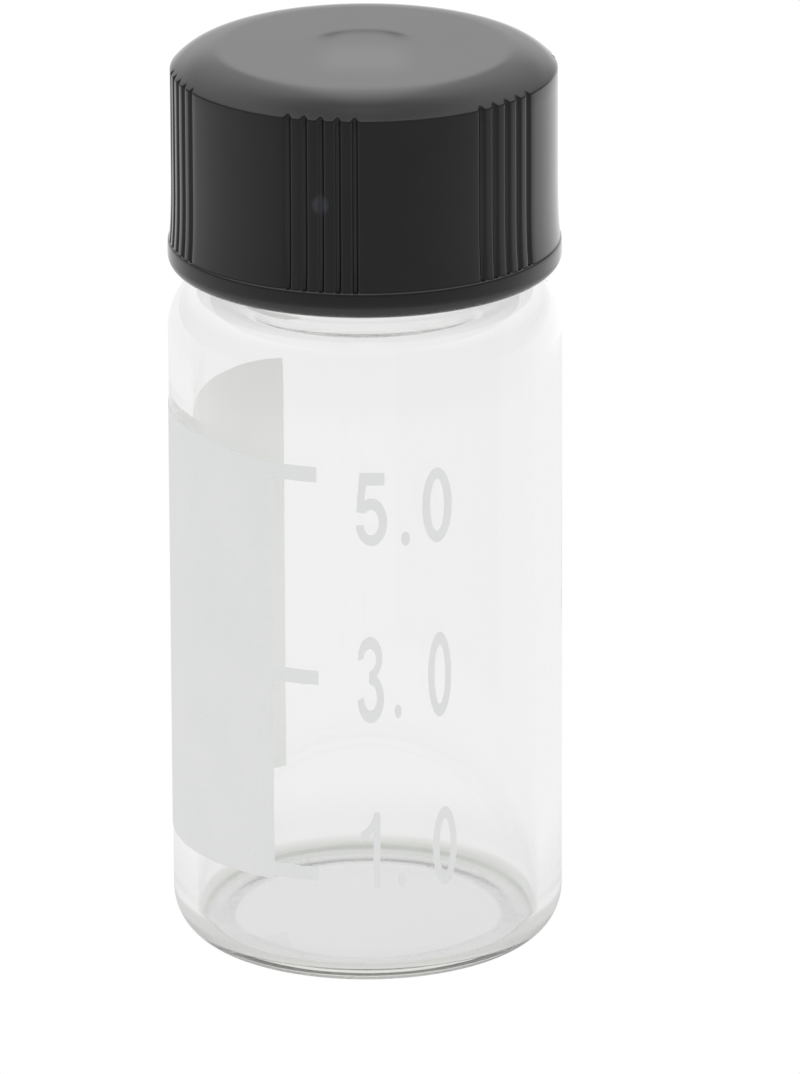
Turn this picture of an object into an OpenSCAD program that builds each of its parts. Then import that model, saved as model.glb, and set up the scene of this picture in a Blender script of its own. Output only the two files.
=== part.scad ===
// Small graduated sample vial with a screw cap.
// A tube-glass body, its fired white scale, a moulded black cap and a soft sealing disc.
// Units are millimetres. +Z is up, the axis of the vial is the Z axis, and the
// origin is the middle of the plane that the vial stands on. The numbers of the
// scale face -Y. An azimuth is counted from -Y, positive towards +X.

/* [Glass body] */
// Outside diameter of the tube
body_d = 18; // [17:0.1:20]
// Height of the glass from the standing plane to the lip
glass_h = 39.6; // [37:0.2:60]
// Wall thickness of the tube
wall_t = 1.1; // [0.9:0.02:1.6]
// Thickness of the floor beside its inner corner
floor_t = 0.9; // [0.5:0.05:1.6]
// Width of the rounded heel, seen from below
heel_w = 1.75; // [1.3:0.05:1.8]
// Height of the rounded heel
heel_h = 2.05; // [1.4:0.05:3.2]
// Rise of the underside inside its flat standing ring
push_up = 0.08; // [0.06:0.02:0.3]
// Width of that standing ring
stand_w = 0.2; // [0.1:0.05:0.6]
// Width of the rounded corner between the wall and the floor, inside
corner_w = 0.6; // [0.3:0.05:1]
// Height of that corner
corner_h = 1; // [0.4:0.1:2]

/* [Shoulder and neck] */
// Height of the neck from the shoulder plane to the lip
neck_h = 8.1; // [7.8:0.1:8.6]
// Width of the rounded shoulder, seen from above
shoulder_w = 1.95; // [1.4:0.05:1.95]
// Height of the rounded shoulder
shoulder_h = 2.45; // [1.8:0.05:2.8]
// Slope of the shoulder's inner side, in degrees
shoulder_slope = 17; // [8:1:24]
// Outside diameter of the neck, at the root of its thread
neck_d = 13.1; // [12.7:0.1:13.2]
// Diameter of the bore through the neck
bore_d = 10.6; // [9.4:0.1:10.8]
// Radius that rounds the outside of the lip
lip_r = 0.5; // [0.2:0.05:0.6]
// Radius of the fillet between the neck and the shoulder
neck_fillet = 0.5; // [0.2:0.05:0.6]

/* [Cap] */
// Outside diameter of the cap's side wall near the top
cap_d = 17.58; // [17.2:0.02:17.7]
// Height of the cap from its lower edge to its flat top
cap_h = 10.22; // [9.6:0.02:11]
// Gap between the shoulder plane and the cap's lower edge, screwed down
cap_gap = 0.65; // [0.4:0.05:1.2]
// Inside diameter of the cap, at the root of its thread
cap_bore_d = 14.9; // [14.6:0.05:15.2]
// Diameter of the bead round the cap's lower edge
bead_d = 17.96; // [17.8:0.02:18.8]
// Height of the bead
bead_h = 1.3; // [1:0.05:1.6]
// Drop of the rounded top edge, from the flat top to the side wall
edge_drop = 0.98; // [0.6:0.02:1.2]
// Width of the rounded top edge, seen from above
edge_w = 2.4; // [1.4:0.05:2.6]
// How late the top edge turns down: higher is flatter at first and steeper at the end
edge_power = 2.4; // [2:0.1:4]
// Diameter of the shallow dish in the middle of the top
dish_d = 5.5; // [4:0.1:7]
// Depth of that dish
dish_depth = 0.1; // [0.06:0.02:0.3]

/* [Grip grooves] */
// Number of groups of grooves round the cap
groove_groups = 6; // [3:1:8]
// Number of grooves in one group
grooves_per_group = 5; // [2:1:6]
// Angle between two grooves of one group, in degrees
groove_pitch = 5.07; // [4.6:0.01:6]
// Azimuth of the middle of the first group, in degrees
groove_turn = -12.9; // [-30:0.1:30]
// Radius of the round groove section
groove_r = 0.22; // [0.16:0.02:0.28]
// Depth of a groove
groove_depth = 0.15; // [0.08:0.01:0.2]

/* [Sealing disc] */
// Thickness of the sealing disc
liner_t = 1.05; // [0.8:0.05:1.4]
// Diameter of the sealing disc
liner_d = 14.4; // [13.6:0.1:14.5]

/* [Scale] */
// Thickness of the fired ink
ink_t = 0.03; // [0.02:0.01:0.05]
// Height of the lower edge of the marking block
block_z = 5.1; // [4.7:0.05:5.2]
// Height of the marking block
block_h = 20.4; // [20.2:0.1:23]
// Angle that the marking block wraps round the tube, in degrees
block_wrap = 124; // [60:1:170]
// Azimuth of the block's edge beside the graduation lines, in degrees
block_edge = -28; // [-40:0.5:-24]
// Height of the middle of the 5.0 line
line_5_z = 24.82; // [23.5:0.02:25.2]
// Height of the middle of the 3.0 line
line_3_z = 15.1; // [13:0.02:17]
// Height of the middle of the 1.0 line
line_1_z = 5.62; // [5.46:0.02:7]
// Thickness of a graduation line
line_t = 0.7; // [0.4:0.02:1]
// Azimuth of the free end of the graduation lines, in degrees
line_end = -14.3; // [-20:0.1:-8]
// Height of the numbers of the middle row
digit_h = 4.1; // [3:0.05:4.5]

/* [Hidden] */
$fn = 128;

body_r = body_d / 2;
in_r = body_r - wall_t;
neck_r = neck_d / 2;
bore_r = bore_d / 2;
stand_r = body_r - heel_w - stand_w;        // inner edge of the flat ring that the vial stands on
plane_z = glass_h - neck_h;                 // the nearly flat ring between shoulder and neck
turn_z = plane_z - shoulder_h;              // where the straight tube ends
turn_w = min(shoulder_w, body_r - neck_r - neck_fillet);
cap_z = plane_z + cap_gap;                  // lower edge of the cap
cap_top = cap_z + cap_h;
cap_r = cap_d / 2;
cap_bore_r = cap_bore_d / 2;
bead_r = bead_d / 2;
bead_top = cap_z + bead_h;
liner_z = glass_h - 0.05;                   // underside of the disc, pressed a little over the lip
seat_z = liner_z + liner_t + 0.04;          // underside of the cap's top
wall_top = cap_top - edge_drop;

// Points on an elliptical arc, from angle a0 to a1, in n steps
function arc(cx, cy, rx, ry, a0, a1, n = 12) =
    [for (i = [0:n]) let (a = a0 + (a1 - a0) * i / n) [cx + rx * cos(a), cy + ry * sin(a)]];

// Points on a smooth S from (x0, y0) to (x1, y1) with level ends, without its first point
function ease(x0, y0, x1, y1, n = 8) =
    [for (i = [1:n]) let (t = i / n) [x0 + (x1 - x0) * t, y0 + (y1 - y0) * (1 - cos(180 * t)) / 2]];

// The shoulder's inner side: its corner at the wall, its slope and its fillet into the bore
in_c = 0.47 * (in_r - bore_r);              // width of the corner
in_ch = 0.72 * shoulder_h;                  // height of the corner
in_f = 0.6;                                 // radius of the fillet
in_z = plane_z - 0.55 - in_ch - (in_r - bore_r - in_c) * tan(shoulder_slope);
in_a = atan2(in_ch / in_c, tan(shoulder_slope));
in_x1 = in_r - in_c + in_c * cos(in_a);
in_z1 = in_z + in_ch * sin(in_a);
in_zf = in_z1 + (in_x1 - bore_r - in_f) * tan(shoulder_slope) + in_f / cos(shoulder_slope);

// Half section of the glass
function glass_section() = concat(
    [[0, push_up], [stand_r - 0.95, push_up]],
    ease(stand_r - 0.95, push_up, stand_r, 0, 8),
    arc(body_r - heel_w, heel_h, heel_w, heel_h, -90, 0, 14),
    arc(body_r - turn_w, turn_z, turn_w, shoulder_h, 0, 90, 16),
    arc(neck_r + neck_fillet, plane_z + neck_fillet, neck_fillet, neck_fillet, 258, 180, 6),
    arc(neck_r - lip_r, glass_h - lip_r, lip_r, lip_r, 0, 90, 6),
    arc(bore_r + 0.35, glass_h - 0.35, 0.35, 0.35, 90, 180, 6),
    arc(bore_r + in_f, in_zf, in_f, in_f, 180, 270 - shoulder_slope, 8),
    arc(in_r - in_c, in_z, in_c, in_ch, in_a, 0, 12),
    arc(in_r - corner_w, floor_t + corner_h, corner_w, corner_h, 0, -90, 10),
    [[6.4, floor_t + 0.05], [0, floor_t + 0.05]]);

// One piece of glass: floor, wall, shoulder, neck and lip
module vial() {
    color([0.93, 0.96, 0.94, 0.45])
        rotate_extrude() polygon(glass_section());
}

// Half section of the cap, outside first and then the hollow
function cap_section() = concat(
    arc(0, cap_top - dish_depth + dish_sphere(), dish_sphere(), dish_sphere(), -90, -90 + dish_angle(), 6),
    [for (i = [0:10]) let (u = pow(i / 10, 0.7))
        [cap_r - edge_w * (1 - u), cap_top - edge_drop * pow(u, edge_power)]],
    [[cap_r, bead_top + 1.9], [min(cap_r + 0.1, bead_r - 0.06), bead_top + 0.12]],
    [[bead_r - 0.04, bead_top], [bead_r, bead_top - 0.12]],
    arc(bead_r - 0.53, cap_z + 0.55, 0.53, 0.55, 0, -90, 6),
    [[cap_bore_r + 0.28, cap_z], [cap_bore_r, cap_z + 0.28]],
    [[cap_bore_r, seat_z - 0.2], [cap_bore_r - 0.2, seat_z], [0, seat_z]]);

// Radius of the sphere that forms the dish, and the angle of its edge
function dish_sphere() = (pow(dish_d / 2, 2) + pow(dish_depth, 2)) / (2 * dish_depth);
function dish_angle() = asin(dish_d / 2 / dish_sphere());

// One grip groove: a round channel from the bead up through the top edge
module groove(az) {
    rotate([0, 0, az])
        translate([0, -(cap_r + groove_r - groove_depth), bead_top + 0.05])
            cylinder(r = groove_r, h = cap_top - bead_top + 1, $fn = 24);
}

// The moulded screw cap
module cap() {
    color([0.07, 0.07, 0.08])
        difference() {
            rotate_extrude() polygon(cap_section());
            for (g = [0:groove_groups - 1])
                for (i = [0:grooves_per_group - 1])
                    groove(groove_turn + g * 360 / groove_groups
                           + (i - (grooves_per_group - 1) / 2) * groove_pitch);
        }
}

// The soft disc that seals the lip, with the ring that the lip has pressed into it
module liner() {
    r = liner_d / 2;
    color([0.93, 0.93, 0.9])
        rotate_extrude()
            polygon([[0, liner_z], [bore_r - 0.2, liner_z], [bore_r, liner_z + 0.08],
                     [neck_r, liner_z + 0.08], [neck_r + 0.2, liner_z], [r - 0.1, liner_z],
                     [r, liner_z + 0.1], [r, liner_z + liner_t - 0.1], [r - 0.1, liner_z + liner_t],
                     [0, liner_z + liner_t]]);
}

// A band of ink on the glass from z0 to z1, over wrap degrees from azimuth az
module ink_band(az, wrap, z0, z1) {
    rotate([0, 0, az - 90])
        rotate_extrude(angle = wrap)
            translate([body_r, z0]) square([ink_t, z1 - z0]);
}

// A flat figure laid on the glass as ink: its x runs round the tube and its y runs up
module ink_figure(az, z0, z1) {
    intersection() {
        translate([0, 0, z0 - 0.2]) difference() {
            cylinder(r = body_r + ink_t, h = z1 - z0 + 0.4);
            translate([0, 0, -1]) cylinder(r = body_r, h = z1 - z0 + 2.4);
        }
        rotate([0, 0, az]) translate([0, 0, z0]) rotate([90, 0, 0])
            translate([0, 0, body_r - 1]) linear_extrude(2) children();
    }
}

// A piece of an elliptical ring of a digit that is w wide and h high. The centre,
// the radii and the thickness are parts of the width (u) and of the height (v).
module ring_piece(w, h, cu, cv, ru, rv, tu, tv, a0, a1, n = 20) {
    polygon(concat(arc(cu * w, cv * h, ru * w, rv * h, a0, a1, n),
                   arc(cu * w, cv * h, (ru - tu) * w, (rv - tv) * h, a1, a0, n)));
}

// Plain condensed digits, each drawn in a box w wide and h high
module digit_0(w, h) {
    difference() {
        polygon(arc(w / 2, h / 2, w / 2, h / 2, 0, 345, 23));
        polygon(arc(w / 2, h / 2, 0.23 * w, 0.345 * h, 0, 345, 23));
    }
}
module digit_1(w, h) {
    polygon([[0.62 * w, 0], [0.92 * w, 0], [0.92 * w, h], [0.6 * w, h],
             [0.42 * w, 0.86 * h], [0, 0.74 * h], [0, 0.6 * h], [0.62 * w, 0.74 * h]]);
}
module digit_3(w, h) {
    ring_piece(w, h, 0.49, 0.75, 0.44, 0.25, 0.26, 0.15, -62, 188);
    ring_piece(w, h, 0.5, 0.29, 0.5, 0.29, 0.28, 0.16, -188, 64);
    polygon([[0.38 * w, 0.47 * h], [0.72 * w, 0.47 * h], [0.72 * w, 0.59 * h], [0.38 * w, 0.59 * h]]);
}
module digit_5(w, h) {
    ring_piece(w, h, 0.5, 0.33, 0.5, 0.33, 0.26, 0.165, -172, 128);
    polygon([[0.02 * w, 0.46 * h], [0.24 * w, 0.44 * h], [0.3 * w, 0.58 * h], [0.38 * w, 0.82 * h],
             [0.93 * w, 0.82 * h], [0.93 * w, h], [0.12 * w, h]]);
}

// One number of the scale, N.0: its first digit, its point and its nought
module number(az, az0, z, h, w, w0, s) {
    ink_figure(az, z, z + h) translate([-w / 2, 0]) {
        if (s == 1) digit_1(w, h);
        if (s == 3) digit_3(w, h);
        if (s == 5) digit_5(w, h);
    }
    ink_figure(az0, z, z + h) translate([-w0 / 2, 0]) digit_0(w0, h);
}

// The point between two digits
module point(az, z, w, h) {
    ink_figure(az, z, z + h) translate([-w / 2, 0])
        polygon(arc(w / 2, h / 2, w / 2, h / 2, 0, 330, 11));
}

// The white scale on the glass: marking block, three lines and their numbers
module scale_print() {
    color([0.86, 0.87, 0.86]) {
        ink_band(block_edge - block_wrap, block_wrap, block_z, block_z + block_h);
        for (z = [line_5_z, line_3_z, line_1_z])
            ink_band(block_edge - 0.5, line_end - block_edge + 0.5, z - line_t / 2, z + line_t / 2);
        number(1.5, 20.85, line_5_z - 3.35, 0.86 * digit_h, 1.42, 1.43, 5);
        point(11.35, line_5_z - 3.35, 0.41, 0.66);
        number(1.1, 21.5, line_3_z - 2.05, digit_h, 1.2, 1.14, 3);
        point(8.95, line_3_z - 1.87, 0.34, 0.65);
        number(1, 23, line_1_z - 0.62, 0.91 * digit_h, 0.94, 1.17, 1);
        point(9.95, line_1_z - 0.55, 0.37, 0.62);
    }
}

vial();
scale_print();
cap();
liner();
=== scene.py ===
import bpy, bmesh, math, random
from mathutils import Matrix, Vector


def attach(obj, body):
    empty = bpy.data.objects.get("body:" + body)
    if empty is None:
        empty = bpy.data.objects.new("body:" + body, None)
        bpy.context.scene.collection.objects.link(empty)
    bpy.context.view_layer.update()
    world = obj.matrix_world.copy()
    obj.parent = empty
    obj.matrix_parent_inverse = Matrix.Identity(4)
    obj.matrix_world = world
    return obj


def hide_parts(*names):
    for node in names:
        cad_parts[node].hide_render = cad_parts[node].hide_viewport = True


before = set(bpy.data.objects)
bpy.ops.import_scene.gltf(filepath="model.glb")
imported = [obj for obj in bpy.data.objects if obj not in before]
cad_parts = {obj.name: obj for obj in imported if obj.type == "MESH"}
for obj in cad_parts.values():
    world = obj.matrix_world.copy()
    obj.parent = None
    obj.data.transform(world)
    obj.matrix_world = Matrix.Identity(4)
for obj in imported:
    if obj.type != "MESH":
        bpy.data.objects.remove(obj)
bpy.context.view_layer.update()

MM = 0.001
RNG = random.Random(1801)

# ---------------------------------------------------------------------------
# Camera
# ---------------------------------------------------------------------------
cam_data = bpy.data.cameras.new("camera")
cam = bpy.data.objects.new("camera", cam_data)
bpy.context.scene.collection.objects.link(cam)
cam.location = (0.0, -0.492833, 0.18687)
cam.rotation_euler = (1.2422464, 0.0038959, -0.0044802)
cam_data.sensor_width = 36.0
cam_data.lens = 379.85
cam_data.clip_start, cam_data.clip_end = 0.02, 20.0
bpy.context.scene.camera = cam
bpy.context.scene.view_settings.view_transform = "Standard"
bpy.context.scene.view_settings.look = "None"
# light runs up inside the glass wall by many inner reflections before it comes out
cyc = bpy.context.scene.cycles
cyc.max_bounces, cyc.glossy_bounces, cyc.transmission_bounces, cyc.diffuse_bounces = 40, 40, 40, 8
# and the ink behind the glass is lit through that glass, which must stay clear for it
cyc.blur_glossy = 0.0

# ---------------------------------------------------------------------------
# The sizes that the visual pieces share with the solids, in millimetres.
# An azimuth is counted from -Y, positive towards +X.
# ---------------------------------------------------------------------------
BODY_R, IN_R = 9.0, 7.90
GLASS_H, PLANE_Z, TURN_Z = 39.6, 31.5, 29.05
NECK_R, BORE_R = 6.55, 5.3
CAP_Z, CAP_TOP, CREASE_Z = 32.15, 42.37, 41.395
PITCH = 2.117


def arc(cx, cy, rx, ry, a0, a1, n):
    out = []
    for i in range(n + 1):
        a = math.radians(a0 + (a1 - a0) * i / n)
        out.append((cx + rx * math.cos(a), cy + ry * math.sin(a)))
    return out


def ease(x0, y0, x1, y1, n):
    return [(x0 + (x1 - x0) * i / n, y0 + (y1 - y0) * (1 - math.cos(math.pi * i / n)) / 2) for i in range(1, n + 1)]


def line(x0, y0, x1, y1, n):
    """Points after the first of a straight run."""
    return [(x0 + (x1 - x0) * i / n, y0 + (y1 - y0) * i / n) for i in range(1, n + 1)]


def smooth(a, b, x):
    t = min(1.0, max(0.0, (x - a) / (b - a)))
    return t * t * (3 - 2 * t)


def make(name, verts, faces, body, mat, sharp=None):
    """A mesh piece from millimetre points."""
    me = bpy.data.meshes.new(name)
    me.from_pydata([(x * MM, y * MM, z * MM) for x, y, z in verts], [], faces)
    me.validate()
    bm = bmesh.new()
    bm.from_mesh(me)
    bmesh.ops.recalc_face_normals(bm, faces=bm.faces)
    for f in bm.faces:
        f.smooth = True
    if sharp is not None:
        for e in bm.edges:
            if len(e.link_faces) == 2 and e.calc_face_angle(0.0) > math.radians(sharp):
                e.smooth = False
    bm.to_mesh(me)
    bm.free()
    me.materials.append(mat)
    ob = bpy.data.objects.new(name, me)
    bpy.context.scene.collection.objects.link(ob)
    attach(ob, body)
    return ob


def revolve(profile, azimuths, shape=None):
    """Turns (radius, height) points round Z. Both ends lie on the axis. shape(i, r, z, az) moves a point."""
    verts, faces = [], []
    n = len(azimuths)
    rows = []
    for i, (r, z) in enumerate(profile):
        if r < 1e-6:
            rows.append([len(verts)])
            verts.append((0.0, 0.0, z))
            continue
        row = []
        for az in azimuths:
            rr, zz = (r, z) if shape is None else shape(i, r, z, az)
            a = math.radians(az)
            row.append(len(verts))
            verts.append((rr * math.sin(a), -rr * math.cos(a), zz))
        rows.append(row)
    for a, b in zip(rows, rows[1:]):
        for k in range(n):
            m = (k + 1) % n
            if len(a) == 1:
                faces.append((a[0], b[m], b[k]))
            elif len(b) == 1:
                faces.append((a[k], a[m], b[0]))
            else:
                faces.append((a[k], a[m], b[m], b[k]))
    return verts, faces


# ---------------------------------------------------------------------------
# Materials
# ---------------------------------------------------------------------------
class Nodes:
    def __init__(self, name):
        self.mat = bpy.data.materials.new(name)
        self.mat.use_nodes = True
        self.nt = self.mat.node_tree
        self.nt.nodes.clear()
        self.out = self.nt.nodes.new("ShaderNodeOutputMaterial")
        self.bsdf = self.nt.nodes.new("ShaderNodeBsdfPrincipled")
        self.nt.links.new(self.bsdf.outputs[0], self.out.inputs["Surface"])
        self.co = self.nt.nodes.new("ShaderNodeTexCoord").outputs["Object"]

    def link(self, a, b):
        self.nt.links.new(a, b)

    def new(self, kind, **props):
        n = self.nt.nodes.new(kind)
        for k, v in props.items():
            setattr(n, k, v)
        return n

    def math(self, op, a, b=None, c=None, clamp=False):
        n = self.new("ShaderNodeMath", operation=op, use_clamp=clamp)
        for i, v in enumerate((a, b, c)):
            if v is None:
                continue
            if isinstance(v, (int, float)):
                n.inputs[i].default_value = v
            else:
                self.link(v, n.inputs[i])
        return n.outputs[0]

    def scaled(self, s):
        n = self.new("ShaderNodeMapping")
        n.inputs["Scale"].default_value = s if isinstance(s, tuple) else (s, s, s)
        self.link(self.co, n.inputs["Vector"])
        return n.outputs[0]

    def noise(self, scale, detail=3.0, rough=0.5, stretch=None, distortion=0.0):
        n = self.new("ShaderNodeTexNoise")
        n.inputs["Scale"].default_value = 1.0
        n.inputs["Detail"].default_value = detail
        n.inputs["Roughness"].default_value = rough
        n.inputs["Distortion"].default_value = distortion
        s = (scale, scale, scale) if stretch is None else tuple(scale * k for k in stretch)
        self.link(self.scaled(s), n.inputs["Vector"])
        return n.outputs["Fac"]

    def span(self, v, a, b, c, d, smoothstep=False):
        n = self.new("ShaderNodeMapRange")
        if smoothstep:
            n.interpolation_type = "SMOOTHSTEP"
        self.link(v, n.inputs["Value"])
        for k, x in zip(("From Min", "From Max", "To Min", "To Max"), (a, b, c, d)):
            n.inputs[k].default_value = x
        return n.outputs["Result"]

    def mix(self, f, a, b):
        n = self.new("ShaderNodeMix", data_type="RGBA")
        for sock, v in ((n.inputs[0], f), (n.inputs[6], a), (n.inputs[7], b)):
            if isinstance(v, (tuple, list)):
                sock.default_value = (*v, 1.0) if len(v) == 3 else v
            elif isinstance(v, (int, float)):
                sock.default_value = v
            else:
                self.link(v, sock)
        return n.outputs[2]

    def bump(self, height, strength, distance, normal=None):
        n = self.new("ShaderNodeBump")
        n.inputs["Strength"].default_value = strength
        n.inputs["Distance"].default_value = distance
        self.link(height, n.inputs["Height"])
        if normal is not None:
            self.link(normal, n.inputs["Normal"])
        return n.outputs["Normal"]

    def xyz(self):
        n = self.new("ShaderNodeSeparateXYZ")
        self.link(self.co, n.inputs[0])
        return n.outputs


def glass_material():
    m = Nodes("drawn_glass")
    b = m.bsdf
    b.inputs["Transmission Weight"].default_value = 1.0
    b.inputs["IOR"].default_value = 1.5
    # faint waves along the tube from its drawing, and a few handling marks
    waves = m.noise(160, 2.0, 0.5, stretch=(1, 1, 0.12))
    fine = m.noise(900, 3.0, 0.6, stretch=(1, 1, 0.3))
    m.link(m.bump(waves, 0.25, 0.00006, m.bump(fine, 0.08, 0.00001)), b.inputs["Normal"])
    marks = m.noise(420, 4.0, 0.62, stretch=(1, 1, 0.5))
    # the underside of the heel is scuffed where the vial stands and slides
    x, y, z = m.xyz()
    reach = m.math("SQRT", m.math("ADD", m.math("MULTIPLY", x, x), m.math("MULTIPLY", y, y)))
    worn = m.math("MULTIPLY", m.span(z, 0.0003, 0.0007, 1.0, 0.0, True), m.span(reach, 0.0059, 0.0063, 0.0, 1.0, True))
    worn = m.math("MULTIPLY", worn, m.span(marks, 0.35, 0.65, 0.22, 0.28))
    m.link(m.math("ADD", m.span(marks, 0.52, 0.78, 0.0, 0.03), worn), b.inputs["Roughness"])
    # the glass is thickest in the heel, where its own faint green shows, and a dark
    # ring line at the inner floor corner is painted shade
    thick = m.math("MULTIPLY", m.span(z, 0.00105, 0.00135, 1.0, 0.0, True), m.span(reach, 0.0073, 0.0077, 0.0, 1.0, True))
    base = m.mix(thick, (0.984, 0.988, 0.985), (0.86, 0.873, 0.825))
    # painted shade: a dark ring line at the inner floor corner, standing in for the dark line that the heel's contact
    # shadow makes through the glass
    painted_dark_ring = m.math("MULTIPLY", m.span(z, 0.00092, 0.001, 0.0, 1.0, True), m.span(z, 0.00106, 0.00114, 1.0, 0.0, True))
    inside = m.math("MULTIPLY", m.span(reach, 0.0070, 0.0071, 0.0, 1.0, True), m.span(reach, 0.00792, 0.00796, 1.0, 0.0, True))
    painted_dark_ring = m.math("MULTIPLY", m.math("MULTIPLY", painted_dark_ring, inside), m.span(marks, 0.35, 0.65, 0.6, 1.0))
    m.link(m.mix(painted_dark_ring, base, (0.62, 0.65, 0.61)), b.inputs["Base Color"])
    return m.mat


def ink_material():
    m = Nodes("fired_ink")
    b = m.bsdf
    x, y, z = m.xyz()
    cloud = m.noise(260, 4.0, 0.55)
    grain = m.noise(5200, 2.0, 0.5)
    base = m.mix(m.span(cloud, 0.3, 0.7, 0.0, 1.0), (0.785, 0.79, 0.793), (0.815, 0.818, 0.82))
    base = m.mix(m.math("MULTIPLY", m.span(grain, 0.45, 0.75, 0.0, 0.25), 1.0), base, (0.74, 0.745, 0.75))
    # the face against the glass is painted lighter than the outer skin: painted light standing in for light that shines
    # through the thin ink from behind
    r2 = m.math("ADD", m.math("MULTIPLY", x, x), m.math("MULTIPLY", y, y))
    painted_backlit_face = m.math("LESS_THAN", r2, 0.009015 ** 2)
    base = m.mix(painted_backlit_face, base, (0.955, 0.952, 0.935))
    m.link(base, b.inputs["Base Color"])
    m.link(m.span(cloud, 0.3, 0.7, 0.42, 0.55), b.inputs["Roughness"])
    b.inputs["IOR"].default_value = 1.5
    m.link(m.bump(grain, 0.15, 0.000012, m.bump(cloud, 0.2, 0.00003)), b.inputs["Normal"])
    return m.mat


def cap_material():
    m = Nodes("black_thermoset")
    b = m.bsdf
    x, y, z = m.xyz()
    flow = m.noise(110, 4.0, 0.6, distortion=0.6)
    fine = m.noise(2600, 3.0, 0.6)
    scratch = m.noise(700, 5.0, 0.7, stretch=(1, 0.07, 1))
    base = m.mix(m.span(flow, 0.3, 0.7, 0.0, 1.0), (0.0042, 0.0042, 0.0048), (0.0075, 0.0075, 0.0082))
    # a small dull mark left by the mould on the front
    dx = m.math("SUBTRACT", x, -0.00198)
    dz = m.math("SUBTRACT", z, 0.03747)
    d2 = m.math("ADD", m.math("POWER", m.math("DIVIDE", dx, 0.00046), 2.0), m.math("POWER", m.math("DIVIDE", dz, 0.00056), 2.0))
    front = m.span(y, -0.0081, -0.0079, 1.0, 0.0)
    mark = m.math("MULTIPLY", m.span(d2, 0.0, 1.0, 1.0, 0.0, True), front)
    base = m.mix(mark, base, (0.021, 0.024, 0.032))
    m.link(base, b.inputs["Base Color"])
    r = m.math("ADD", m.span(flow, 0.25, 0.75, 0.10, 0.17), m.span(scratch, 0.6, 0.85, 0.0, 0.10))
    r = m.math("ADD", r, m.math("MULTIPLY", mark, 0.25))
    # the flutes come out of the mould duller than the lands
    reach = m.math("SQRT", m.math("ADD", m.math("MULTIPLY", x, x), m.math("MULTIPLY", y, y)))
    flute = m.math("MULTIPLY", m.span(reach, 0.00868, 0.00876, 1.0, 0.0, True), m.math("GREATER_THAN", reach, 0.0083))
    flute = m.math("MULTIPLY", flute, m.math("MULTIPLY", m.math("LESS_THAN", z, 0.0412), m.math("GREATER_THAN", z, 0.0334)))
    r = m.math("ADD", r, m.math("MULTIPLY", flute, 0.26))
    m.link(r, b.inputs["Roughness"])
    b.inputs["IOR"].default_value = 1.56
    peel = m.noise(520, 2.0, 0.5)
    m.link(m.bump(fine, 0.06, 0.000008, m.bump(peel, 0.10, 0.00002)), b.inputs["Normal"])
    return m.mat


def liner_material():
    m = Nodes("foam_liner")
    b = m.bsdf
    cells = m.new("ShaderNodeTexVoronoi")
    cells.inputs["Scale"].default_value = 1.0
    m.link(m.scaled(5200), cells.inputs["Vector"])
    cloud = m.noise(300, 4.0, 0.6)
    base = m.mix(m.span(cloud, 0.3, 0.7, 0.0, 1.0), (0.80, 0.79, 0.75), (0.88, 0.87, 0.84))
    base = m.mix(m.span(cells.outputs["Distance"], 0.0, 0.35, 0.35, 0.0), base, (0.66, 0.65, 0.61))
    m.link(base, b.inputs["Base Color"])
    m.link(m.span(cloud, 0.3, 0.7, 0.55, 0.7), b.inputs["Roughness"])
    m.link(m.bump(cells.outputs["Distance"], 0.25, 0.00002), b.inputs["Normal"])
    return m.mat


GLASS, INK, CAP, LINER = glass_material(), ink_material(), cap_material(), liner_material()

# ---------------------------------------------------------------------------
# The glass: drawn tube, thick rounded heel, raised underside, shoulder, threaded neck
# ---------------------------------------------------------------------------


def thread_bump(u, half_root, half_crest):
    """Height, from 0 to 1, of a rounded thread ridge at the distance u from its crest line."""
    u = abs(u)
    if u >= half_root:
        return 0.0
    if u <= half_crest:
        return 1.0
    t = (half_root - u) / (half_root - half_crest)
    return t * t * (3 - 2 * t)


def helix(z, az, z0, turns, start_az, fade):
    """(distance from the nearest ridge line, how full the ridge is there) on a right-hand thread."""
    a = (az - start_az) % 360.0
    best, full = 9.0, 0.0
    for k in range(-1, int(turns) + 3):
        t = a / 360.0 + k
        if t < 0 or t > turns:
            continue
        u = z - (z0 + PITCH * t)
        if abs(u) < abs(best):
            best = u
            full = min(1.0, t * 360.0 / fade, (turns - t) * 360.0 / fade)
    return best, smooth(0.0, 1.0, full)


THREAD_Z, THREAD_TURNS, THREAD_AZ = 34.55, 1.7, 35.0
PUSH_UP, HEEL_W, HEEL_H, FLOOR_T = 0.08, 1.75, 2.05, 0.90
glass_profile = [(0.0, PUSH_UP)] + line(0.0, PUSH_UP, 6.15, PUSH_UP, 4)
glass_profile += ease(6.15, PUSH_UP, 7.10, 0.0, 18)
glass_profile += line(7.10, 0.0, BODY_R - HEEL_W, 0.0, 2)
glass_profile += arc(BODY_R - HEEL_W, HEEL_H, HEEL_W, HEEL_H, -90, 0, 30)[1:]
glass_profile += line(BODY_R, HEEL_H, BODY_R, TURN_Z, 14)
glass_profile += arc(BODY_R - 1.95, TURN_Z, 1.95, PLANE_Z - TURN_Z, 0, 90, 30)[1:]
glass_profile += arc(7.05, 32.0, 0.5, 0.5, 270, 180, 8)[1:]
z_root, z_lip = 32.05, GLASS_H - 0.5
rows = 66
glass_profile += [(NECK_R, 32.0 + (z_lip - 32.0) * (i + 1) / rows) for i in range(rows)]
first_neck = len(glass_profile) - rows
last_neck = len(glass_profile) - 1
glass_profile += arc(NECK_R - 0.5, GLASS_H - 0.5, 0.5, 0.5, 0, 90, 10)[1:]
glass_profile += line(NECK_R - 0.5, GLASS_H, BORE_R + 0.35, GLASS_H, 3)
glass_profile += arc(BORE_R + 0.35, GLASS_H - 0.35, 0.35, 0.35, 90, 180, 8)[1:]
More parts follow.
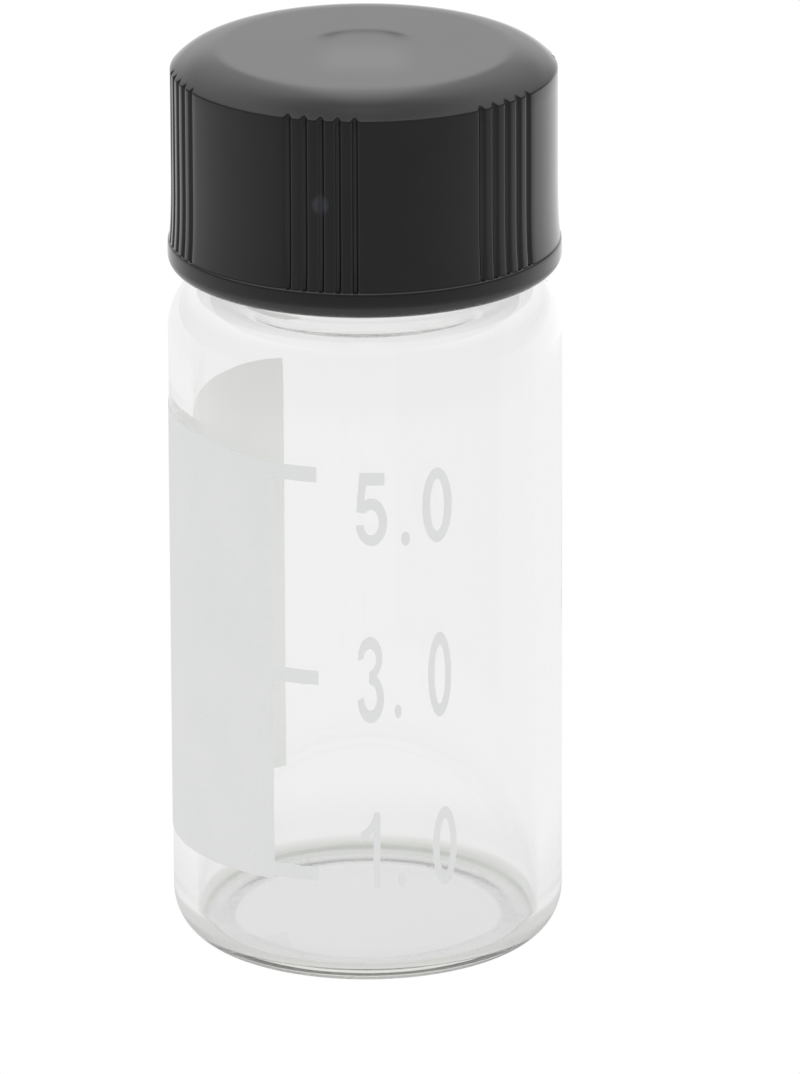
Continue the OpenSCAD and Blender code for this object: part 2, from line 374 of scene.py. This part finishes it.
# inside, the shoulder slopes up from a soft corner at the wall to the fillet of the bore
SLOPE, IN_C, IN_CH, IN_Z, IN_F = math.radians(17.0), 1.2, 1.76, 28.78, 0.6
corner = arc(IN_R - IN_C, IN_Z, IN_C, IN_CH, 0, math.degrees(math.atan2(IN_CH / IN_C, math.tan(SLOPE))), 16)
r1, z1 = corner[-1]
r_f = BORE_R + IN_F
z_f = z1 + (r1 - r_f) * math.tan(SLOPE) + IN_F / math.cos(SLOPE)
glass_profile += line(BORE_R, GLASS_H - 0.35, BORE_R, z_f, 10)
glass_profile += arc(r_f, z_f, IN_F, IN_F, 180, 270 - math.degrees(SLOPE), 10)[1:]
glass_profile += corner[::-1]
glass_profile += line(IN_R, IN_Z, IN_R, FLOOR_T + 1.00, 14)
glass_profile += arc(IN_R - 0.60, FLOOR_T + 1.00, 0.60, 1.00, 0, -90, 18)[1:]
glass_profile += ease(IN_R - 0.60, FLOOR_T, 6.50, FLOOR_T + 0.05, 16)
glass_profile += line(6.50, FLOOR_T + 0.05, 0.0, FLOOR_T + 0.05, 4)


def glass_shape(i, r, z, az):
    if first_neck <= i <= last_neck:
        u, full = helix(z, az, THREAD_Z, THREAD_TURNS, THREAD_AZ, 50.0)
        r += 0.7 * full * thread_bump(u, 0.62, 0.16)
    return r, z


v, f = revolve(glass_profile, [360.0 * k / 192 for k in range(192)], glass_shape)
glass = make("glass_body", v, f, "vial", GLASS)
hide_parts("vial")

# ---------------------------------------------------------------------------
# The ink: outlines in (arc length, height), laid on the tube and given its thickness.
# ---------------------------------------------------------------------------
INK_IN, INK_OUT = 9.004, 9.03


def wobble(points, amount, step=0.35):
    """The closed outline with points every step, moved a little, as a screen prints it."""
    out = []
    n = len(points)
    for i in range(n):
        (x0, y0), (x1, y1) = points[i], points[(i + 1) % n]
        d = math.hypot(x1 - x0, y1 - y0)
        k = max(1, int(d / step))
        for j in range(k):
            t = j / k
            a = amount if 0 < j else amount * 0.5
            out.append((x0 + (x1 - x0) * t + RNG.uniform(-a, a), y0 + (y1 - y0) * t + RNG.uniform(-a, a)))
    return out


def ink_mesh(loops, strip=0.12):
    """Vertices and faces of a shell over the flat outlines. A later loop inside an earlier one is a hole."""
    bm = bmesh.new()
    for loop in loops:
        vs = [bm.verts.new((x, y, 0.0)) for x, y in loop]
        for a, b in zip(vs, vs[1:] + vs[:1]):
            bm.edges.new((a, b))
    bmesh.ops.triangle_fill(bm, use_beauty=True, use_dissolve=False, edges=list(bm.edges))
    lo = min(v.co.x for v in bm.verts)
    hi = max(v.co.x for v in bm.verts)
    x = math.floor(lo / strip) * strip + strip
    while x < hi:
        bmesh.ops.bisect_plane(bm, geom=list(bm.verts) + list(bm.edges) + list(bm.faces), dist=1e-7,
                               plane_co=(x, 0, 0), plane_no=(1, 0, 0))
        x += strip
    bmesh.ops.recalc_face_normals(bm, faces=bm.faces)
    bm.normal_update()
    if sum(f.normal.z for f in bm.faces) < 0:
        bmesh.ops.reverse_faces(bm, faces=list(bm.faces))
    bm.verts.index_update()
    flat = [(v.co.x, v.co.y) for v in bm.verts]
    tops = [[v.index for v in f.verts] for f in bm.faces]
    rim = []
    for e in bm.edges:
        if len(e.link_faces) == 1:
            lp = e.link_loops[0]
            rim.append((lp.vert.index, lp.link_loop_next.vert.index))
    bm.free()
    n = len(flat)
    verts = []
    for r in (INK_OUT, INK_IN):
        for s, z in flat:
            a = s / BODY_R
            verts.append((r * math.sin(a), -r * math.cos(a), z))
    faces = [tuple(t) for t in tops]
    faces += [tuple(n + i for i in reversed(t)) for t in tops]
    faces += [(b, a, n + a, n + b) for a, b in rim]
    return verts, faces


def join(parts):
    verts, faces = [], []
    for v, f in parts:
        k = len(verts)
        verts += v
        faces += [tuple(k + i for i in t) for t in f]
    return verts, faces


def deg(a):
    return math.radians(a) * BODY_R


# the marking block with the three graduation lines, one printed field
x0, x1 = deg(-152.0), deg(-28.2)
field = [(x0, 5.12), (x1 + 0.02, 5.12), (x1 + 0.03, 5.30), (deg(-14.65), 5.30), (deg(-14.7), 5.95), (x1, 5.95),
         (x1, 14.75), (deg(-14.1), 14.77), (deg(-14.1), 15.45), (x1, 15.45), (x1, 24.44), (deg(-14.3), 24.46),
         (deg(-14.35), 25.18), (x1, 25.18), (deg(-36.0), 25.25), (deg(-43.5), 25.36), (deg(-51.0), 25.49),
         (deg(-59.0), 25.57), (deg(-90.0), 25.56), (x0, 25.42)]
ink_parts = [ink_mesh([wobble(field, 0.012)], 0.3)]


def glyph(path, s0, s1, z0, z1):
    return [(s0 + (s1 - s0) * u, z0 + (z1 - z0) * v) for u, v in path]


def ell(cx, cy, rx, ry, a0, a1, n=20):
    return [(cx + rx * math.cos(math.radians(a0 + (a1 - a0) * i / n)),
             cy + ry * math.sin(math.radians(a0 + (a1 - a0) * i / n))) for i in range(n + 1)]


ZERO_OUT = ell(0.5, 0.5, 0.5, 0.5, 0, 352.5, 47)
ZERO_IN = ell(0.5, 0.5, 0.235, 0.35, 0, 348.75, 31)
DOT = ell(0.5, 0.5, 0.5, 0.5, 0, 345, 23)


def numbers():
    # a five: bar, slanted stem and bowl as one outline, clockwise from its upper left
    five = [(0.13, 1.0), (0.92, 1.0), (0.92, 0.83), (0.34, 0.83), (0.285, 0.625)]
    five += ell(0.50, 0.335, 0.50, 0.32, 112, -172, 40)
    five += [(0.245, 0.30)]
    five += ell(0.49, 0.33, 0.245, 0.175, -165, 128, 30)
    five += [(0.25, 0.455), (0.02, 0.475)]
    # a three: two bowls that meet at the waist
    three = ell(0.485, 0.76, 0.46, 0.24, 176, -48, 30) + [(0.72, 0.545)]
    three += ell(0.50, 0.285, 0.50, 0.285, 52, -176, 34)
    three += [(0.255, 0.30)]
    three += ell(0.49, 0.295, 0.245, 0.15, -170, 78, 24)
    three += [(0.44, 0.455), (0.44, 0.585)]
    three += ell(0.47, 0.735, 0.235, 0.125, -78, 172, 22)
    three += [(0.03, 0.72)]
    one = [(0.62, 0.0), (0.93, 0.0), (0.95, 0.5), (0.96, 0.93), (0.90, 1.0), (0.68, 0.99), (0.52, 0.87), (0.30, 0.79),
           (0.0, 0.73), (0.0, 0.61), (0.35, 0.655), (0.62, 0.735)]
    out = []
    out.append([glyph(five, -0.48, 0.95, 21.46, 24.98)])
    out.append([glyph(DOT, 1.58, 1.99, 21.46, 22.13)])
    out.append([glyph(ZERO_OUT, 2.56, 3.99, 21.48, 25.03), glyph(ZERO_IN, 2.56, 3.99, 21.48, 25.03)])
    out.append([glyph(three, -0.43, 0.77, 13.02, 17.16)])
    out.append([glyph(DOT, 1.25, 1.57, 13.22, 13.87)])
    out.append([glyph(ZERO_OUT, 2.82, 3.94, 13.10, 17.18), glyph(ZERO_IN, 2.82, 3.94, 13.10, 17.18)])
    out.append([glyph(one, -0.31, 0.62, 5.03, 8.72)])
    out.append([glyph(DOT, 1.38, 1.75, 5.07, 5.70)])
    out.append([glyph(ZERO_OUT, 3.03, 4.20, 4.94, 8.73), glyph(ZERO_IN, 3.03, 4.20, 4.94, 8.73)])
    return out


for loops in numbers():
    ink_parts.append(ink_mesh([wobble(lp, 0.006, 0.12) for lp in loops]))
v, f = join(ink_parts)
ink = make("printed_scale", v, f, "vial", INK, sharp=60)
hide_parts("scale_print")

# ---------------------------------------------------------------------------
# The cap
# ---------------------------------------------------------------------------
GROUPS, PER_GROUP, G_PITCH, G_TURN = 6, 5, 5.07, -12.9
G_HALF, G_DEPTH = 0.23, 0.155
WALL_R = 8.785


def cap_azimuths():
    out = []
    half = 0.24 / WALL_R * 57.2958
    for g in range(GROUPS):
        c = G_TURN + 60.0 * g
        edge_prev = None
        for i in range(PER_GROUP):
            a = c + (i - 2) * G_PITCH
            if edge_prev is not None:
                out += [edge_prev + (a - half - edge_prev) * k / 3 for k in range(1, 3)]
            out += [a - half + 2 * half * k / 10 for k in range(11)]
            edge_prev = a + half
        nxt = c + 60.0 - 2 * G_PITCH - half
        out += [edge_prev + (nxt - edge_prev) * k / 16 for k in range(1, 16)]
    return sorted(a % 360.0 for a in out)


GROOVES = [G_TURN + 60.0 * g + (i - 2) * G_PITCH for g in range(GROUPS) for i in range(PER_GROUP)]


def groove(az):
    """How deep the wall is pressed in at this azimuth: a soft narrow flute, nothing on the lands."""
    for g in GROOVES:
        d = (az - g + 180.0) % 360.0 - 180.0
        s = math.radians(d) * WALL_R
        if abs(s) < G_HALF:
            return G_DEPTH * (0.5 + 0.5 * math.cos(math.pi * s / G_HALF))
    return 0.0


DISH_R, DISH_W, DISH_DEPTH = 2.75, 1.5, 0.125


def hollow(x, y):
    """The shallow dish of the top: steepest at its rear edge, running out gently to the front."""
    ax = abs(x)
    if ax >= DISH_R:
        return 0.0
    edge = math.sqrt(DISH_R ** 2 - x * x)
    w = 1.0 - smooth(0.9, DISH_R, ax)
    s = edge - y
    if s <= 0.0:
        return 0.0
    if s < DISH_W:
        return DISH_DEPTH * w * (1.0 - (1.0 - s / DISH_W) ** 3)
    return DISH_DEPTH * w * (1.0 - smooth(0.0, 1.0, (s - DISH_W) / (edge - DISH_W + 4.8)))


def rim_z(r):
    """Height of the top: flat, then a soft bevel that turns down ever faster to the crease."""
    if r < 6.95:
        bevel = max(0.0, r - 6.35) ** 2 / 1.2
    else:
        bevel = r - 6.65
    u = max(0.0, (r - 6.7) / (WALL_R - 6.7))
    return CAP_TOP - 0.15 * bevel - (CAP_TOP - CREASE_Z - 0.15 * (WALL_R - 6.65)) * u ** 3


cap_profile = [(0.0, CAP_TOP - hollow(0.0, 0.0))] + line(0.0, CAP_TOP, DISH_R, CAP_TOP, 16)
cap_profile += line(DISH_R, CAP_TOP, 4.9, CAP_TOP, 9) + [(5.6, CAP_TOP), (6.1, CAP_TOP)]
first_rim = len(cap_profile)
cap_profile += [(r, rim_z(r)) for r in (6.35, 6.45, 6.55, 6.65, 6.75, 6.85, 6.95, 7.05, 7.2, 7.35, 7.55, 7.75, 7.92, 8.08, 8.22, 8.35, 8.46,
                                        8.56, 8.65, 8.72, WALL_R)]
crease_z = CREASE_Z
first_wall = len(cap_profile)
cap_profile += [(WALL_R + 0.012, crease_z - 0.05)]
cap_profile += line(WALL_R + 0.012, crease_z - 0.05, 8.80, 36.2, 8)
cap_profile += [(8.806, 35.6), (8.818, 35.0), (8.837, 34.4), (8.86, 34.0), (8.885, 33.65), (8.895, 33.5), (8.90, 33.44)]
last_wall = len(cap_profile) - 1
cap_profile += [(8.915, 33.40), (8.945, 33.375), (8.965, 33.33), (8.975, 33.25), (8.98, 33.1), (8.98, 32.9)]
cap_profile += arc(8.45, 32.7, 0.53, 0.55, 0, -90, 12)
cap_profile += line(8.45, CAP_Z, 7.80, CAP_Z, 3)
cap_profile += [(7.75, CAP_Z + 0.02), (7.73, CAP_Z + 0.06), (7.47, CAP_Z + 0.29), (7.45, CAP_Z + 0.34)]
inner_rows = 60
z_in0, z_in1 = CAP_Z + 0.34, 40.42
first_in = len(cap_profile)
cap_profile += [(7.45, z_in0 + (z_in1 - z_in0) * (i + 1) / inner_rows) for i in range(inner_rows)]
last_in = len(cap_profile) - 1
cap_profile += [(7.42, 40.52), (7.34, 40.60), (7.25, 40.62)]
cap_profile += line(7.25, 40.62, 0.0, 40.62, 6)
cap_profile[-1] = (0.0, 40.62)


def cap_shape(i, r, z, az):
    if first_in <= i <= last_in:
        u, full = helix(z, az, THREAD_Z - 0.5 * PITCH, 1.6, THREAD_AZ, 40.0)
        r -= 0.62 * full * thread_bump(u, 0.46, 0.12)
    elif i < first_rim:
        a = math.radians(az)
        z -= hollow(r * math.sin(a), -r * math.cos(a))
    elif i <= last_wall:
        # on the bevel the flutes run out where it rises above their floor
        r = min(r, max(r, WALL_R) - groove(az))
    return r, z


v, f = revolve(cap_profile, cap_azimuths(), cap_shape)
cap = make("screw_cap", v, f, "cap", CAP, sharp=48)
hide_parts("cap")

# ---------------------------------------------------------------------------
# The sealing disc
# ---------------------------------------------------------------------------
LZ0, LZ1, LR = 39.55, 40.6, 7.2
liner_profile = [(0.0, LZ0)] + line(0.0, LZ0, 4.7, LZ0, 5) + [(4.85, LZ0 + 0.01), (4.95, LZ0 + 0.05), (5.05, LZ0 + 0.08)]
liner_profile += line(5.05, LZ0 + 0.08, 6.5, LZ0 + 0.08, 3) + [(6.62, LZ0 + 0.05), (6.72, LZ0 + 0.01), (6.85, LZ0)]
liner_profile += arc(LR - 0.12, LZ0 + 0.12, 0.12, 0.12, -90, 0, 5) + arc(LR - 0.12, LZ1 - 0.12, 0.12, 0.12, 0, 90, 5)
liner_profile += line(LR - 0.12, LZ1, 0.0, LZ1, 6)
liner_profile[-1] = (0.0, LZ1)
v, f = revolve(liner_profile, [360.0 * k / 128 for k in range(128)])
liner = make("sealing_disc", v, f, "liner", LINER)
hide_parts("liner")

# ---------------------------------------------------------------------------
# Floor and studio light: a white sweep, darker towards the camera side
# ---------------------------------------------------------------------------


def side_light(nt, x, y):
    """How bright the studio is in this horizontal direction: dim in front, bright behind."""
    def m(op, a, b=None, clamp=False):
        n = nt.nodes.new("ShaderNodeMath")
        n.operation, n.use_clamp = op, clamp
        for i, v in enumerate((a, b)):
            if v is None:
                continue
            if isinstance(v, (int, float)):
                n.inputs[i].default_value = v
            else:
                nt.links.new(v, n.inputs[i])
        return n.outputs[0]
    h = m("MAXIMUM", m("SQRT", m("ADD", m("MULTIPLY", x, x), m("MULTIPLY", y, y))), 1e-5)
    t = m("ADD", m("MULTIPLY", m("DIVIDE", y, h), 0.5), 0.5)
    ramp = nt.nodes.new("ShaderNodeValToRGB")
    ramp.color_ramp.interpolation = "B_SPLINE"
    stops = [(0.0, 0.34), (0.16, 0.42), (0.33, 0.53), (0.52, 0.63), (0.65, 0.66), (0.78, 0.72), (0.90, 0.88), (1.0, 0.95)]
    e = ramp.color_ramp.elements
    while len(e) < len(stops):
        e.new(0.5)
    for el, (p, c) in zip(e, stops):
        el.position = p
        el.color = (c, c, c, 1)
    nt.links.new(t, ramp.inputs[0])
    right = m("MULTIPLY", m("MULTIPLY", m("MAXIMUM", m("DIVIDE", x, h), 0.0), m("MAXIMUM", m("DIVIDE", y, h), 0.0)), 0.7)
    return m("ADD", ramp.outputs[0], right), m


world = bpy.data.worlds.new("studio")
bpy.context.scene.world = world
world.use_nodes = True
wt = world.node_tree
wt.nodes.clear()
w_out = wt.nodes.new("ShaderNodeOutputWorld")
w_bg = wt.nodes.new("ShaderNodeBackground")
wt.links.new(w_bg.outputs[0], w_out.inputs[0])
w_co = wt.nodes.new("ShaderNodeTexCoord")
w_sep = wt.nodes.new("ShaderNodeSeparateXYZ")
wt.links.new(w_co.outputs["Generated"], w_sep.inputs[0])
_, m = side_light(wt, w_sep.outputs[0], w_sep.outputs[1])


def ramp(nt, fac, stops, kind="EASE"):
    n = nt.nodes.new("ShaderNodeValToRGB")
    n.color_ramp.interpolation = kind
    e = n.color_ramp.elements
    while len(e) < len(stops):
        e.new(0.5)
    for el, (p, c) in zip(e, stops):
        el.position = p
        el.color = (c, c, c, 1)
    nt.links.new(fac, n.inputs[0])
    return n.outputs[0]


# the big soft panel overhead comes lower behind the vial than in front of it
wx, wy, wz = w_sep.outputs[0], w_sep.outputs[1], w_sep.outputs[2]
h = m("MAXIMUM", m("SQRT", m("ADD", m("MULTIPLY", wx, wx), m("MULTIPLY", wy, wy))), 1e-5)
cx, cy = m("DIVIDE", wx, h), m("DIVIDE", wy, h)
t = m("ADD", m("MULTIPLY", cy, 0.5), 0.5)
low = ramp(wt, t, [(0.0, 0.25), (0.15, 0.30), (0.37, 0.30), (0.63, 0.27), (0.80, 0.31), (0.87, 0.40), (0.915, 0.58),
                   (0.957, 0.74), (0.978, 0.84), (1.0, 0.88)], "LINEAR")
edge = ramp(wt, t, [(0.0, 0.73), (0.146, 0.656), (0.37, 0.54), (0.63, 0.45), (0.82, 0.36), (0.93, 0.25), (1.0, 0.15)], "LINEAR")
under = [(0.0, 0.87), (0.07, 1.02), (0.12, 1.12), (0.17, 1.15), (0.22, 1.15), (0.255, 1.09), (0.285, 1.05)]
wide = ramp(wt, wz, under + [(0.33, 0.96), (0.40, 0.90), (0.45, 0.94), (0.54, 1.08), (0.65, 1.22), (0.80, 1.32), (0.88, 1.15),
                             (0.94, 0.98), (0.975, 0.95), (1.0, 1.08)], "LINEAR")
core = ramp(wt, wz, under + [(0.314, 1.17), (0.40, 1.40), (0.46, 1.56), (0.60, 1.67), (0.815, 1.59), (0.90, 1.33), (0.955, 1.07),
                             (0.98, 0.96), (1.0, 1.12)], "LINEAR")
inner = wt.nodes.new("ShaderNodeMapRange")
inner.interpolation_type = "SMOOTHSTEP"
wt.links.new(m("ABSOLUTE", wx), inner.inputs["Value"])
for k, x in zip(("From Min", "From Max", "To Min", "To Max"), (0.04, 0.11, 1.0, 0.0)):
    inner.inputs[k].default_value = x
high = m("ADD", wide, m("MULTIPLY", m("SUBTRACT", core, wide), inner.outputs[0]))
# a tall lamp low down on the right, behind
lamp = m("POWER", m("MAXIMUM", m("MULTIPLY", m("MULTIPLY", cx, m("MAXIMUM", cy, 0.0)), 2.0), 0.0), 3.0)
lamp = m("MULTIPLY", m("MULTIPLY", lamp, 0.75), m("SUBTRACT", 1.0, m("MULTIPLY", wz, 5.0, True)))
rise = wt.nodes.new("ShaderNodeMapRange")
rise.interpolation_type = "SMOOTHSTEP"
wt.links.new(m("SUBTRACT", wz, edge), rise.inputs["Value"])
for k, x in zip(("From Min", "From Max", "To Min", "To Max"), (-0.15, 0.15, 0.0, 1.0)):
    rise.inputs[k].default_value = x
lit = m("ADD", m("MULTIPLY", m("ADD", low, lamp), m("SUBTRACT", 1.0, rise.outputs[0])), m("MULTIPLY", high, rise.outputs[0]))
w_lp = wt.nodes.new("ShaderNodeLightPath")
# what is seen straight through the glass, or lights the ink, is the evenly lit white behind it
w_even = m("MINIMUM", m("ADD", w_lp.outputs["Transmission Depth"], w_lp.outputs["Diffuse Depth"]), 1.0)
w_mix = m("ADD", m("MULTIPLY", lit, m("SUBTRACT", 1.0, w_even)), m("MULTIPLY", 0.90, w_even))
w_mix = m("ADD", m("MULTIPLY", w_mix, m("SUBTRACT", 1.0, w_lp.outputs["Is Camera Ray"])), w_lp.outputs["Is Camera Ray"])
w_col = wt.nodes.new("ShaderNodeCombineColor")
for i in range(3):
    wt.links.new(w_mix, w_col.inputs[i])
wt.links.new(w_col.outputs[0], w_bg.inputs[0])

bpy.ops.mesh.primitive_circle_add(vertices=96, radius=4.0, fill_type="NGON", location=(0, 0, 0))
floor = bpy.context.object
floor.name = "floor"
floor.location = (0, 0, -0.00002)
fm = bpy.data.materials.new("pale_floor")
fm.use_nodes = True
ft = fm.node_tree
ft.nodes.clear()
f_out = ft.nodes.new("ShaderNodeOutputMaterial")
f_em = ft.nodes.new("ShaderNodeEmission")
ft.links.new(f_em.outputs[0], f_out.inputs["Surface"])
f_geo = ft.nodes.new("ShaderNodeNewGeometry")
f_sep = ft.nodes.new("ShaderNodeSeparateXYZ")
ft.links.new(f_geo.outputs["Position"], f_sep.inputs[0])
f_low, m = side_light(ft, f_sep.outputs[0], f_sep.outputs[1])
# under the vial the floor is in the vial's own shade, darkest below the heel
dist = m("SQRT", m("ADD", m("MULTIPLY", f_sep.outputs[0], f_sep.outputs[0]), m("MULTIPLY", f_sep.outputs[1], f_sep.outputs[1])))
shade = ft.nodes.new("ShaderNodeValToRGB")
shade.color_ramp.interpolation = "EASE"
e = shade.color_ramp.elements
stops = [(0.0, 0.71), (0.30, 0.71), (0.36, 0.735), (0.42, 0.69), (0.52, 0.70), (0.66, 0.84), (1.0, 0.90)]
while len(e) < len(stops):
    e.new(0.5)
for el, (p, c) in zip(e, stops):
    el.position = p
    el.color = (c, c, c, 1)
ft.links.new(m("MULTIPLY", dist, 50.0), shade.inputs[0])
f_lp = ft.nodes.new("ShaderNodeLightPath")
f_even = m("MINIMUM", m("ADD", f_lp.outputs["Transmission Depth"], f_lp.outputs["Diffuse Depth"]), 1.0)
far = ft.nodes.new("ShaderNodeMapRange")
far.interpolation_type = "SMOOTHSTEP"
ft.links.new(dist, far.inputs["Value"])
for k, x in zip(("From Min", "From Max", "To Min", "To Max"), (0.088, 0.100, 0.0, 1.0)):
    far.inputs[k].default_value = x
f_far = m("MULTIPLY", far.outputs[0], m("SUBTRACT", 1.0, f_even))
f_mix = m("ADD", m("MULTIPLY", f_low, f_far), m("MULTIPLY", shade.outputs[0], m("SUBTRACT", 1.0, f_far)))
f_mix = m("ADD", m("MULTIPLY", f_mix, m("SUBTRACT", 1.0, f_lp.outputs["Is Camera Ray"])), f_lp.outputs["Is Camera Ray"])
ft.links.new(f_mix, f_em.inputs["Strength"])
floor.data.materials.append(fm)
